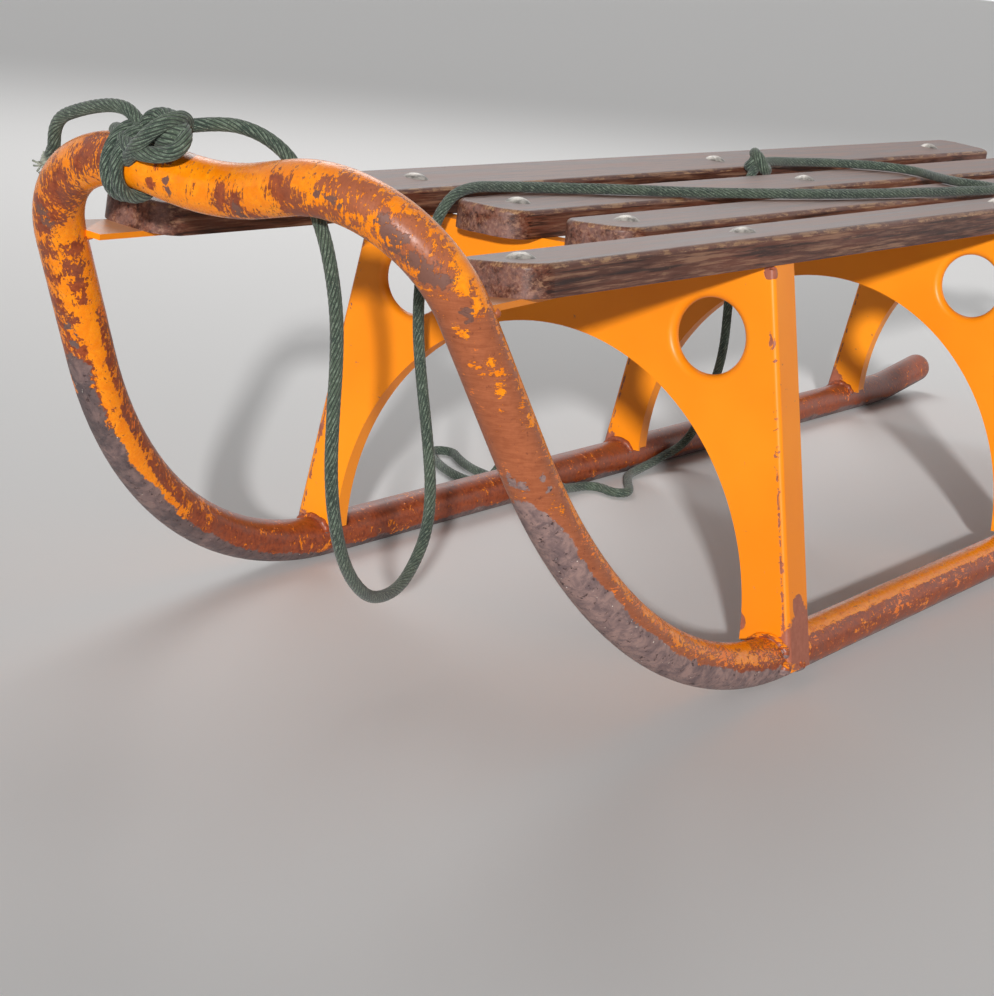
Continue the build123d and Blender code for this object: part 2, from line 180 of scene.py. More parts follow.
# Short calls for nodes
class Recipe:
    """Adds nodes to one tree. The calls take and give sockets, plain numbers and colours."""

    def __init__(self, tree):
        self.tree = tree

    def add(self, kind):
        return self.tree.nodes.new("ShaderNode" + kind)

    def feed(self, value, socket):
        """Joins an output to a socket, or sets the socket to a plain number or colour."""
        if hasattr(value, "links"):
            self.tree.links.new(value, socket)
        else:
            socket.default_value = value

    def calc(self, kind, *values):
        node = self.add("Math")
        node.operation = kind
        for value, socket in zip(values, node.inputs):
            self.feed(value, socket)
        return node.outputs[0]

    def plus(self, *values):
        total = values[0]
        for value in values[1:]:
            total = self.calc("ADD", total, value)
        return total

    def minus(self, a, b):
        return self.calc("SUBTRACT", a, b)

    def times(self, a, b):
        return self.calc("MULTIPLY", a, b)

    def most(self, a, b):
        return self.calc("MAXIMUM", a, b)

    def shares(self, *pairs):
        """Each field times its share."""
        return [self.times(field, share) for field, share in pairs]

    def ramp(self, value, start, end, low=0.0, high=1.0):
        """A smooth step from low, where the value is start, to high, where it is end."""
        node = self.add("MapRange")
        node.interpolation_type = "SMOOTHSTEP"
        for socket, number in zip(node.inputs, (value, start, end, low, high)):
            self.feed(number, socket)
        return node.outputs[0]

    def mix(self, factor, a, b):
        node = self.add("Mix")
        node.data_type = "RGBA"
        self.feed(factor, node.inputs[0])
        self.feed(a, node.inputs[6])
        self.feed(b, node.inputs[7])
        return node.outputs[2]

    def place(self, scale=(1.0, 1.0, 1.0), turn=(0.0, 0.0, 0.0), shift=(0.0, 0.0, 0.0), source="Object"):
        """Coordinates on the piece, scaled, turned and moved."""
        mapping = self.add("Mapping")
        mapping.inputs["Location"].default_value = shift
        mapping.inputs["Rotation"].default_value = turn
        mapping.inputs["Scale"].default_value = scale
        self.feed(self.add("TexCoord").outputs[source], mapping.inputs[0])
        return mapping.outputs[0]

    def noise(self, where, scale=1.0, detail=6.0, rough=0.6, warp=0.0):
        node = self.add("TexNoise")
        node.inputs["Scale"].default_value = scale
        node.inputs["Detail"].default_value = detail
        node.inputs["Roughness"].default_value = rough
        node.inputs["Distortion"].default_value = warp
        self.feed(where, node.inputs["Vector"])
        return node.outputs[0]

    def parts_of(self, value):
        """The parts X, Y and Z of a vector."""
        node = self.add("SeparateXYZ")
        self.feed(value, node.inputs[0])
        return node.outputs

    def facing(self):
        """The surface's own direction, as X, Y and Z."""
        return self.parts_of(self.add("NewGeometry").outputs["Normal"])

    def spots(self, where, table):
        """Highest value of all the spots at a place: 1 at a spot's middle, 0 at its reach."""
        field = None
        for x, y, z, reach in table:
            distance = self.add("VectorMath")
            distance.operation = "DISTANCE"
            self.feed(where, distance.inputs[0])
            self.feed((x, y, z), distance.inputs[1])
            value = self.calc("MULTIPLY_ADD", distance.outputs["Value"], -1.0 / reach, 1.0)
            field = value if field is None else self.most(field, value)
        return field


class Finish(Recipe):
    """A new material, whose shader takes what the recipe makes."""

    def __init__(self, name):
        self.material = bpy.data.materials.new(name)
        self.material.use_nodes = True
        super().__init__(self.material.node_tree)
        self.shader = self.tree.nodes["Principled BSDF"]

    def set(self, name, value):
        self.feed(value, self.shader.inputs[name])

    def bump(self, height, strength, depth):
        node = self.add("Bump")
        self.feed(height, node.inputs["Height"])
        self.feed(strength, node.inputs["Strength"])
        self.feed(depth, node.inputs["Distance"])
        self.set("Normal", node.outputs[0])


def colour(r, g, b):
    """An sRGB colour, 0 to 255, as the linear one that a shader takes."""
    channels = []
    for value in (r, g, b):
        value = value / 255
        channels.append(value / 12.92 if value < 0.04045 else ((value + 0.055) / 1.055) ** 2.4)
    return (*channels, 1.0)


def grey(level):
    """A plain number as the grey that a mix of colours takes."""
    return (level, level, level, 1.0)


# Where the enamel is gone from the pressed steel: x, y, z and reach, in metres
FOOT_SPOTS = (
    (0.2960, 0.1700, 0.0250, 0.0240),
    (0.2980, 0.1650, 0.0420, 0.0100),
    (0.3110, 0.1350, 0.0300, 0.0080),
    (0.3110, 0.1620, 0.0220, 0.0080),
    (0.3000, -0.1640, 0.0200, 0.0150),
    (0.3110, -0.1330, 0.0270, 0.0080),
    (-0.0750, 0.1680, 0.0200, 0.0180),
    (-0.0700, -0.1680, 0.0200, 0.0180),
    (-0.4650, 0.1680, 0.0200, 0.0180),
    (-0.4600, -0.1680, 0.0220, 0.0200),
    (0.3095, 0.1295, 0.2205, 0.0045),
)

# Wear on the bow, listed at pixels of the photograph: pixel across, pixel down and reach in metres
RUST_SEEN = (
    (162, 160, 0.0030), (150, 184, 0.0020), (224, 200, 0.0060), (234, 207, 0.0060),
    (222, 190, 0.0040), (238, 219, 0.0045), (256, 216, 0.0040), (280, 186, 0.0060),
    (288, 200, 0.0070), (299, 212, 0.0060), (315, 214, 0.0050), (335, 213, 0.0050),
    (345, 183, 0.0050), (330, 184, 0.0040), (365, 190, 0.0055), (378, 203, 0.0045),
    (354, 206, 0.0040), (90, 146, 0.0070), (80, 160, 0.0065), (103, 140, 0.0050),
    (104, 157, 0.0060), (56, 188, 0.0090), (64, 203, 0.0080), (50, 214, 0.0070),
    (74, 193, 0.0050), (62, 176, 0.0050), (76, 250, 0.0045), (77, 266, 0.0050),
    (79, 284, 0.0040), (83, 300, 0.0030), (41, 204, 0.0050), (42, 226, 0.0050),
    (46, 250, 0.0045), (49, 275, 0.0050), (53, 300, 0.0050), (58, 322, 0.0050),
    (64, 345, 0.0050), (70, 358, 0.0040), (396, 226, 0.0065), (412, 243, 0.0100),
    (428, 262, 0.0100), (445, 288, 0.0100), (384, 212, 0.0040),
)
# orange that is left on the bare near bend
PAINT_SEEN = (
    (462, 251, 0.0060), (470, 268, 0.0070), (478, 286, 0.0060), (485, 302, 0.0050),
    (464, 288, 0.0050), (474, 311, 0.0045), (462, 333, 0.0030), (521, 385, 0.0030),
    (491, 362, 0.0025), (532, 420, 0.0030), (500, 390, 0.0025),
)
# grey chips in the paint
GREY_SEEN = (
    (381, 221, 0.0060), (389, 231, 0.0060), (397, 243, 0.0060), (404, 240, 0.0040),
    (416, 262, 0.0070), (427, 271, 0.0080), (440, 281, 0.0060), (466, 312, 0.0040),
    (470, 319, 0.0030), (165, 181, 0.0026), (168, 191, 0.0024), (238, 211, 0.0040),
    (244, 216, 0.0030), (316, 195, 0.0026), (325, 196, 0.0028), (333, 201, 0.0030),
    (339, 206, 0.0026), (376, 221, 0.0040), (384, 231, 0.0050), (392, 241, 0.0050),
    (412, 259, 0.0050), (424, 268, 0.0065), (437, 279, 0.0050), (466, 312, 0.0034),
    (469, 320, 0.0026), (43, 212, 0.0050), (47, 222, 0.0040), (68, 327, 0.0035),
    (74, 334, 0.0035), (74, 344, 0.0030), (511, 482, 0.0045), (522, 487, 0.0045),
    (535, 536, 0.0050), (543, 550, 0.0050), (543, 478, 0.0022), (549, 490, 0.0022),
)
# steps across and down to the pixels that are tried where one at the tube's edge just misses it
NEIGHBOURS = ((0, 0), (0, 1), (0, -1), (1, 0), (-1, 0), (0, 2), (0, -2), (2, 0), (-2, 0))


def sight_through(across, down):
    """The direction in which the camera sees a pixel of the photograph."""
    half_view = camera_data.sensor_width / 2 / camera_data.lens
    side = (2 * across / PHOTO_WIDTH - 1) * half_view
    drop = (2 * down - PHOTO_HEIGHT) / PHOTO_WIDTH * half_view
    return (look + side * right - drop * up).normalized()


def seen_on(piece, table):
    """Places on a piece that the camera sees at pixels of the photograph, each with its reach."""
    places = []
    for across, down, reach in table:
        for aside, lower in NEIGHBOURS:
            found, spot = piece.ray_cast(EYE, sight_through(across + aside, down + lower))[:2]
            if found:
                places.append((*spot, reach))
                break
    return places


# Worn enamel on the bent tube. Each pair of places is where a change starts and where it is full.
BEND_MIDDLE = 0.298             # x and also z of the middle of the bow's bend
BEND_SOFTNESS = 0.0001          # square metres, so that nothing is divided by zero
LEFT_SIDE = (0.02, 0.11)        # y
CROSSBAR = (0.215, 0.250)       # z
RUNNERS = (0.33, 0.27)          # x
NEAR_UPRIGHT = (0.25, 0.22)     # z
FAR_RUST = (0.200, 0.160)       # z
LOW_RUST = (0.065, 0.035)       # z
STREAK_FOOT = (0.045, 0.075)    # z
COPPER_FROM = (0.34, 0.42)      # x
SOLE_NEAR = (0.03, 0.125)       # z
SOLE_NEAR_END = (0.118, 0.15)   # z
SOLE_BEND = (0.315, 0.265)      # x
SOLE_FAR = (0.03, 0.15)         # z
SOLE_FAR_END = (0.145, 0.19)    # z
LEFT_OVER_END = (0.10, 0.06)    # z
BROWN_STEEL_FROM = (0.14, 0.20)         # z

# A pair of colours is the two ends of a cloudy mix
TUBE_ORANGE = (colour(238, 128, 8), colour(252, 150, 18))
SCUFFED_ORANGE = colour(178, 83, 29)
LEFT_ORANGE = colour(252, 129, 24)
DARK_RUST = (colour(119, 50, 26), colour(164, 79, 40))
DULL_RUST = colour(116, 72, 58)
COPPER_RUST = (colour(144, 78, 48), colour(170, 98, 63))
RUST_PITS = colour(100, 52, 38)
BARE_STEEL = (colour(109, 90, 90), colour(152, 124, 117))
DARK_STEEL = colour(72, 64, 66)
STEEL_PITS = colour(69, 52, 52)
BRIGHT_STEEL = colour(233, 221, 209)
BROWN_STEEL = colour(117, 79, 67)
ENAMEL_SHINE = 0.30
SPOTLESS = -1.1                 # value of a field of spots far from any spot
PAINT_ROUGHNESS, RUST_ROUGHNESS, STEEL_ROUGHNESS = 0.27, 0.36, 0.50


class TubeEnamel(Finish):
    """Orange enamel on the bent tube, worn to rust and to grey steel."""

    def __init__(self):
        super().__init__("worn_enamel")
        self.read_place()
        self.make_noises()
        chips = self.chips()
        rusted = self.times(self.rust(), self.bare_of_paint())
        bared = self.most(self.sole(), chips)
        finish = self.mix(rusted, self.orange_colour(), self.rust_colour())
        self.set("Base Color", self.mix(bared, finish, self.steel_colour()))
        rough = self.mix(rusted, grey(PAINT_ROUGHNESS), grey(RUST_ROUGHNESS))
        rough = self.mix(bared, rough, grey(STEEL_ROUGHNESS))
        self.set("Roughness", self.plus(rough, self.times(self.minus(self.grain, 0.5), 0.4)))
        self.set("Specular IOR Level", ENAMEL_SHINE)
        height = self.minus(self.times(self.grain, 0.45), rusted)
        self.bump(self.minus(height, self.times(chips, 0.8)), 0.6, 0.0004)

    def read_place(self):
        """Where on the tube a point is, and how far its face looks out of the bow's bend."""
        self.here = self.place()
        self.x, self.y, self.z = self.parts_of(self.here)
        facing = self.facing()
        self.upward = facing["Z"]
        out_x = self.most(self.minus(self.x, BEND_MIDDLE), 0.0)
        out_z = self.minus(self.z, BEND_MIDDLE)
        reach = self.plus(self.times(out_x, out_x), self.times(out_z, out_z), BEND_SOFTNESS)
        outward = self.plus(self.times(facing["X"], out_x), self.times(facing["Z"], out_z))
        self.outward = self.calc("DIVIDE", outward, self.calc("SQRT", reach))
        self.left = self.ramp(self.y, *LEFT_SIDE)
        self.right = self.minus(1.0, self.left)
        self.bar = self.ramp(self.z, *CROSSBAR)
        self.runner = self.ramp(self.x, *RUNNERS)

    def make_noises(self):
        """Noises from coarse to fine, and scratches up the tube or, on the near upright, round it."""
        self.blotch = self.noise(self.here, 38.0, detail=9.0, rough=0.64, warp=0.5)
        self.crumb = self.noise(self.here, 150.0, detail=7.0, rough=0.68, warp=0.6)
        self.grain = self.noise(self.place(shift=(7.0, 3.0, 4.0)), 320.0, detail=5.0, rough=0.65)
        self.fleck = self.noise(self.place(shift=(2.0, 5.0, 1.0)), 480.0, detail=4.0, rough=0.62)
        up_tube = self.place((330.0, 760.0, 120.0), turn=(0.35, 0.2, 0.0))
        round_tube = self.place((110.0, 90.0, 900.0), turn=(0.0, 0.5, 0.0))
        on_near = self.times(self.left, self.ramp(self.z, *NEAR_UPRIGHT))
        self.scratch = self.plus(
            self.times(self.noise(up_tube, detail=5.0, rough=0.66, warp=0.8), self.minus(1.0, on_near)),
            self.times(self.noise(round_tube, detail=5.0, rough=0.66, warp=0.8), on_near),
        )

    def rust(self):
        """Rust on the low far side and the near upright, less on the runners' tops, and in its spots; on the
        far upright's inward edge it is partly painted shade.
        """
        rusty = self.times(self.right, self.ramp(self.z, *FAR_RUST, high=0.20))
        low = self.times(self.right, self.ramp(self.z, *LOW_RUST, high=0.06))
        rusty = self.plus(rusty, low, self.times(self.bar, 0.02))
        rusty = self.plus(rusty, self.times(self.times(self.left, self.minus(1.0, self.bar)), 0.25))
        rusty = self.plus(rusty, self.times(self.times(self.left, self.bar), 0.10))
        inner_edge = self.times(self.ramp(self.outward, 0.0, -0.5), self.minus(1.0, self.runner))
        rusty = self.minus(rusty, self.times(self.times(self.left, inner_edge), 0.13))
        on_top = self.times(self.ramp(self.upward, 0.66, 0.90), self.runner)
        rusty = self.minus(rusty, self.times(self.times(on_top, self.left), 0.36))
        # an orange streak down the far upright; its inward-facing edge beside it keeps the far side's dark
        # rust, partly real rust and partly painted shade
        streak = self.times(self.ramp(self.outward, 0.78, 0.55), self.ramp(self.outward, 0.05, 0.35))
        streak = self.times(self.times(streak, self.right), self.ramp(self.z, *STREAK_FOOT))
        rusty = self.minus(rusty, self.times(streak, 0.22))
        ragged = ((self.blotch, 0.55), (self.crumb, 0.55), (self.fleck, 0.25), (self.scratch, 0.45))
        rusty = self.plus(rusty, self.plus(*self.shares(*ragged), -0.90))
        spread = self.ramp(rusty, 0.125, 0.145)
        spots = self.spots_with_edge(RUST_SEEN, crumb=4.5, fleck=2.5, scratch=6.0, offset=-6.5)
        return self.most(spread, self.ramp(spots, -0.28, -0.12))

    def spots_with_edge(self, table, crumb, fleck, scratch, offset):
        """A table's spots with an edge as ragged as its shares of the noises make it."""
        field = self.most(self.spots(self.here, seen_on(nodes["bow"], table)), SPOTLESS)
        ragged = ((self.crumb, crumb), (self.fleck, fleck), (self.scratch, scratch))
        return self.plus(field, *self.shares(*ragged), offset)

    def bare_of_paint(self):
        """1 but for the orange that is left on the bare near bend."""
        kept = self.spots_with_edge(PAINT_SEEN, crumb=5.5, fleck=2.5, scratch=3.0, offset=-5.5)
        return self.ramp(kept, 0.22, 0.08)

    def chips(self):
        """Grey chips in the paint."""
        field = self.spots(self.here, seen_on(nodes["bow"], GREY_SEEN))
        ragged = self.shares((self.crumb, 3.5), (self.fleck, 1.5), (self.scratch, 1.5))
        return self.ramp(self.plus(field, *ragged, -3.25), 0.30, 0.42)

    def sole(self):
        """Bare steel along the sole and, higher up, on the outside of the bend."""
        near = self.ramp(self.z, *SOLE_NEAR, 0.02, 0.42)
        near_end = self.ramp(self.z, *SOLE_NEAR_END, high=1.2)
        near = self.plus(near, near_end, self.times(self.ramp(self.x, *SOLE_BEND), 0.52))
        far = self.plus(self.ramp(self.z, *SOLE_FAR, 0.44, 0.80), self.ramp(self.z, *SOLE_FAR_END, high=1.2))
        limit = self.plus(far, self.times(self.left, self.minus(near, far)))
        ragged = self.shares((self.blotch, 0.75), (self.crumb, 0.45), (self.fleck, 0.2))
        return self.ramp(self.minus(self.plus(self.outward, *ragged), limit), 0.66, 0.72)

    def orange_colour(self):
        """Enamel with scuffed patches."""
        orange = self.mix(self.ramp(self.crumb, 0.35, 0.7), *TUBE_ORANGE)
        scuffs = self.times(self.ramp(self.blotch, 0.42, 0.60), 0.9)
        return self.mix(self.times(self.ramp(self.scratch, 0.56, 0.66), scuffs), orange, SCUFFED_ORANGE)

    def rust_colour(self):
        """Dark rust, copper on the near upright, with crumbs of paint left over and pits."""
        dark = self.mix(self.ramp(self.grain, 0.3, 0.7), *DARK_RUST)
        dark = self.mix(self.times(self.ramp(self.blotch, 0.46, 0.56), 0.4), dark, DULL_RUST)
        copper = self.ramp(self.plus(*self.shares((self.scratch, 0.6), (self.crumb, 0.4))), 0.35, 0.65)
        copper = self.mix(copper, *COPPER_RUST)
        rust = self.mix(self.times(self.left, self.ramp(self.x, *COPPER_FROM)), dark, copper)
        inward = self.ramp(self.outward, 0.6, -0.4)
        crumbs = ((self.crumb, 0.28), (self.blotch, 0.32), (self.fleck, 0.12), (self.scratch, 0.28))
        left_over = self.plus(*self.shares(*crumbs, (inward, 0.05)))
        fewer = self.times(self.right, self.ramp(self.z, *LEFT_OVER_END, high=0.035))
        left_over = self.ramp(self.minus(left_over, fewer), 0.582, 0.602)
        rust = self.mix(self.times(left_over, 0.85), rust, LEFT_ORANGE)
        return self.mix(self.times(self.ramp(self.grain, 0.60, 0.68), 0.6), rust, RUST_PITS)

    def steel_colour(self):
        """Bare steel, darker on the far side, with pits, bright flecks and brown higher up."""
        steel = self.mix(self.ramp(self.crumb, 0.35, 0.65), *BARE_STEEL)
        dark = self.times(self.right, self.ramp(self.blotch, 0.60, 0.40, 0.25, 0.70))
        steel = self.mix(dark, steel, DARK_STEEL)
        steel = self.mix(self.ramp(self.grain, 0.58, 0.66), steel, STEEL_PITS)
        steel = self.mix(self.ramp(self.fleck, 0.68, 0.73), steel, BRIGHT_STEEL)
        return self.mix(self.ramp(self.z, *BROWN_STEEL_FROM), steel, BROWN_STEEL)


# Enamel on the pressed steel
FOLD_FOOT_Y = 0.1695            # the legs' fold line at the floor
FOLD_SLOPE = -0.1823            # its way in with each metre up
FOLD_EDGE = (0.0030, 0.0008)    # distance from the fold line
FOLD_CREST = (0.0012, 0.0004)   # distance from the fold line
LOW_FOLD = (0.140, 0.100)       # z
TABS_FROM = (0.45, 0.50)        # x
SHEET_ORANGE = (colour(240, 134, 12), colour(250, 148, 22))
SHEET_BROWN = (colour(133, 67, 45), colour(178, 109, 86))
TAB_TOP_ORANGE = colour(208, 156, 122)


def make_enamel():
    """Orange enamel, chipped at the feet and along the folds, and faded on the tabs' tops."""
    paint = Finish("enamel")
    here = paint.place()
    x, y, z = paint.parts_of(here)
    mottle = paint.noise(here, 9.0, detail=3.0, rough=0.5)
    nicks = paint.noise(here, 130.0, detail=5.0, rough=0.7, warp=0.6)
    grain = paint.noise(here, 300.0, detail=3.0, rough=0.5)
    ragged = paint.plus(*paint.shares((nicks, 0.6), (mottle, 0.5)))
    feet = paint.plus(paint.spots(here, FOOT_SPOTS), paint.times(ragged, 1.4))
    chips = paint.most(paint.ramp(feet, 0.90, 0.98), paint.ramp(nicks, 0.735, 0.76))
    fold = paint.plus(FOLD_FOOT_Y, paint.times(z, FOLD_SLOPE))
    from_fold = paint.calc("ABSOLUTE", paint.minus(paint.calc("ABSOLUTE", y), fold))
    edge = paint.plus(paint.times(paint.ramp(from_fold, *FOLD_EDGE), 0.12), nicks)
    chips = paint.most(chips, paint.ramp(edge, 0.70, 0.73))
    crest = paint.times(paint.ramp(from_fold, *FOLD_CREST), paint.ramp(z, *LOW_FOLD))
    chips = paint.most(chips, paint.ramp(paint.plus(paint.times(crest, 0.20), nicks), 0.66, 0.72))
    orange = paint.mix(paint.ramp(mottle, 0.3, 0.7), *SHEET_ORANGE)
    tab_top = paint.times(paint.ramp(x, *TABS_FROM), paint.ramp(paint.facing()["Z"], 0.6, 0.9))
    faded = paint.times(tab_top, paint.ramp(nicks, 0.30, 0.50, 0.45, 0.85))
    orange = paint.mix(faded, orange, TAB_TOP_ORANGE)
    paint.set("Base Color", paint.mix(chips, orange, paint.mix(grain, *SHEET_BROWN)))
    paint.set("Roughness", 0.38)
    paint.set("Specular IOR Level", ENAMEL_SHINE)
    paint.bump(paint.minus(paint.times(mottle, 0.3), chips), 0.5, 0.0004)
    return paint.material


# Varnished wood. The grain runs along x.
VARNISH_BROWN = (colour(62, 31, 22), colour(104, 58, 42))
PALE_FIBRE = colour(129, 93, 76)
PALE_STREAK = colour(158, 118, 92)
DARK_STREAK = colour(34, 17, 13)
FRONT_END_GREY = colour(150, 117, 109)
# the tops' paler, greyer browns: partly weathered varnish, partly painted sheen
TOP_BROWN_AND_SHEEN = (colour(70, 40, 31), colour(126, 94, 82))
WORN_WOOD = (colour(124, 81, 55), colour(190, 150, 109))


def make_varnish():
    """Dark varnish over streaky wood, worn at the edges and the front ends, with a paler, greyer brown on
    the tops that is partly weathering and partly painted sheen.
    """
    wood = Finish("varnish")
    facing = wood.facing()
    rings = wood.noise(wood.place((7.0, 160.0, 90.0)), detail=5.0, rough=0.55, warp=0.4)
    fibres = wood.noise(wood.place((40.0, 900.0, 700.0)), detail=4.0)
    scuffs = wood.noise(wood.place((8.0, 120.0, 120.0)), detail=8.0, rough=0.72)
    streaks = wood.noise(wood.place((14.0, 420.0, 420.0), shift=(1.0, 4.0, 9.0)), rough=0.68)
    knocks = wood.noise(wood.place((55.0, 160.0, 160.0), shift=(3.0, 8.0, 5.0)), detail=8.0, rough=0.72)
    flat_top = wood.ramp(facing["Z"], 0.93, 0.99)
    edge = wood.times(wood.ramp(facing["Z"], 0.05, 0.3), wood.minus(1.0, flat_top))
    side = wood.minus(1.0, wood.ramp(facing["Z"], 0.1, 0.6))
    brown = wood.mix(wood.ramp(rings, 0.3, 0.7), *VARNISH_BROWN)
    brown = wood.mix(wood.times(wood.ramp(fibres, 0.42, 0.70), 0.6), brown, PALE_FIBRE)
    brown = wood.mix(wood.times(wood.ramp(streaks, 0.53, 0.62), wood.times(side, 0.60)), brown, PALE_STREAK)
    brown = wood.mix(wood.times(wood.ramp(streaks, 0.47, 0.39), wood.times(side, 0.85)), brown, DARK_STREAK)
    front_end = wood.times(wood.ramp(facing["X"], 0.2, 0.9), wood.ramp(scuffs, 0.35, 0.65))
    brown = wood.mix(wood.times(front_end, 0.5), brown, FRONT_END_GREY)
    # flat tops take the paler top browns, which are partly painted sheen
    finish = wood.mix(flat_top, brown, wood.mix(wood.ramp(scuffs, 0.38, 0.62), *TOP_BROWN_AND_SHEEN))
    worn = wood.ramp(wood.plus(knocks, wood.times(edge, 0.12)), 0.585, 0.66)
    worn = wood.times(worn, wood.plus(*wood.shares((edge, 0.55), (side, 0.15))))
    finish = wood.mix(worn, finish, wood.mix(wood.ramp(fibres, 0.35, 0.65), *WORN_WOOD))
    wood.set("Base Color", finish)
    wood.set("Roughness", wood.ramp(scuffs, 0.3, 0.7, 0.34, 0.5))
    wood.set("Specular IOR Level", 0.22)
    wood.bump(wood.plus(wood.times(fibres, 0.6), rings), 0.35, 0.0004)
    return wood.material


# Zinc on the bolts and nuts
ZINC_GREY = (colour(104, 100, 95), colour(164, 158, 151))


def make_zinc():
    """Dull, cloudy zinc."""
    zinc = Finish("zinc")
    here = zinc.place()
    cloud = zinc.noise(here, 260.0, detail=5.0)
    grit = zinc.noise(here, 900.0, detail=3.0)
    zinc.set("Base Color", zinc.mix(zinc.ramp(cloud, 0.35, 0.65), *ZINC_GREY))
    zinc.set("Metallic", 1.0)
    zinc.set("Roughness", zinc.ramp(cloud, 0.3, 0.7, 0.36, 0.54))
    zinc.bump(zinc.plus(cloud, grit), 0.3, 0.0002)
    return zinc.material


# Rope fibre. The rope's UV map runs once round it, and up by one with each turn of its strands.
ROPE_GREEN = (colour(42, 58, 48), colour(68, 82, 66))
YARN_GREEN = colour(104, 118, 102)
FLUFF_PALE = colour(160, 166, 146)
# painted shade in the grooves between the strands
GROOVE_SHADE = colour(21, 31, 24)
LOOSE_END_PALE = colour(190, 194, 176)
LOOSE_END_REACH = 0.009
FLECKS_PER_TURN = 14.0


def make_rope_fibre():
    """Green fibre with painted shade between the strands, flecked along them and pale at the loose end."""
    fibre = Finish("rope_fibre")
    here = fibre.place()
    uv = fibre.parts_of(fibre.place(source="UV"))
    turned = fibre.minus(uv["X"], uv["Y"])
    strand = fibre.calc("FRACT", fibre.times(turned, STRANDS))
    groove = fibre.ramp(fibre.calc("ABSOLUTE", fibre.minus(strand, 0.5)), 0.24, 0.06)
    fluff = fibre.noise(here, 1400.0, detail=3.0, rough=0.7)
    fade = fibre.noise(here, 60.0, detail=5.0)
    along_strand = fibre.add("CombineXYZ")
    fibre.feed(fibre.times(turned, 2.0 * STRANDS), along_strand.inputs[0])
    fibre.feed(fibre.times(uv["Y"], FLECKS_PER_TURN), along_strand.inputs[1])
    flecks = fibre.noise(along_strand.outputs[0], detail=3.0)
    green = fibre.mix(fibre.ramp(fade, 0.40, 0.60), *ROPE_GREEN)
    green = fibre.mix(fibre.ramp(flecks, 0.50, 0.60), green, YARN_GREEN)
    green = fibre.mix(fibre.times(fibre.ramp(fluff, 0.57, 0.67), 0.55), green, FLUFF_PALE)
    # the grooves between the strands are darkened: painted shade
    green = fibre.mix(fibre.times(groove, 0.9), green, GROOVE_SHADE)
    loose_end = fibre.spots(here, ((*TAIL_ROUTE[-1], LOOSE_END_REACH),))
    green = fibre.mix(fibre.ramp(loose_end, 0.0, 0.6, high=0.75), green, LOOSE_END_PALE)
    fibre.set("Base Color", green)
    fibre.set("Roughness", 0.85)
    fibre.set("Sheen Weight", 0.15)
    fibre.bump(fibre.minus(fibre.times(fluff, 0.35), fibre.times(groove, 0.8)), 0.7, 0.0005)
    return fibre.material


worn_enamel = TubeEnamel().material
enamel = make_enamel()
varnish = make_varnish()
zinc = make_zinc()
rope_fibre = make_rope_fibre()


def finish_of(name):
    """The material of a CAD node, by its name."""
    if name in ("bow", "left_runner", "right_runner"):
        return worn_enamel
    if name.startswith("slat"):
        return varnish
    if name.startswith(("bolt", "nut")):
        return zinc
    if "rope" in name or "knot" in name:
        return rope_fibre
    return enamel


for name, node in nodes.items():
    node.data.materials.clear()
    node.data.materials.append(finish_of(name))


# Rope
def smooth_line(route, closed=False):
    """Points read from the NURBS line through a route."""
    curve = bpy.data.curves.new("line", "CURVE")
    curve.dimensions = "3D"
    curve.resolution_u = 12
    spline = curve.splines.new("NURBS")
    spline.points.add(len(route) - 1)
    for control, point in zip(spline.points, route):
        control.co = (*point, 1.0)
    spline.order_u = 3
    spline.use_endpoint_u = not closed
    spline.use_cyclic_u = closed
    line = bpy.data.objects.new("line", curve)
    bpy.context.collection.objects.link(line)
    mesh = bpy.data.meshes.new_from_object(line)
    spots = []
    for vertex in mesh.vertices:
        if not spots or (vertex.co - spots[-1]).length > SAME_POINT:
            spots.append(vertex.co.copy())
    bpy.data.meshes.remove(mesh)
    bpy.data.objects.remove(line)
    bpy.data.curves.remove(curve)
    return spots


def lengths_along(spots, closed=False):
    """The line's length up to each point, and on a closed line back at the first."""
    along = [0.0]
    for a, b in zip(spots, spots[1:]):
        along.append(along[-1] + (b - a).length)
    if closed:
        along.append(along[-1] + (spots[0] - spots[-1]).length)
    return along


def headings_and_sides(spots, closed):
    """The line's direction at each point, and a side that is carried along it without turning round it."""
    count = len(spots)
    headings = []
    for i in range(count):
        before = spots[i - 1] if (i or closed) else spots[0]
        after = spots[(i + 1) % count] if (i < count - 1 or closed) else spots[-1]
        headings.append((after - before).normalized())
    side = headings[0].orthogonal().normalized()
    sides = []
    for heading in headings:
        side = (side - heading * side.dot(heading)).normalized()
        sides.append(side.copy())
    return headings, sides


def closing_turn(headings, sides):
    """The angle from a closed line's last side back to its first."""
    end = (sides[-1] - headings[0] * sides[-1].dot(headings[0])).normalized()
    sense = 1 if end.cross(sides[0]).dot(headings[0]) > 0 else -1
    return end.angle(sides[0]) * sense


def strand_ring(spot, heading, side, diameter, twist, drift):
    """One ring of the rope's skin, with a lobe for each strand."""
    across = heading.cross(side)
    ring = []
    for k in range(FACES_ROUND):
        angle = 2 * pi * k / FACES_ROUND
        lobe = abs(cos(STRANDS / 2 * (angle - twist)))
        radius = diameter / 2 * (1 - GROOVE_DEPTH + GROOVE_DEPTH * lobe)
        turned = angle + drift
        ring.append(spot + radius * (cos(turned) * side + sin(turned) * across))
    return ring


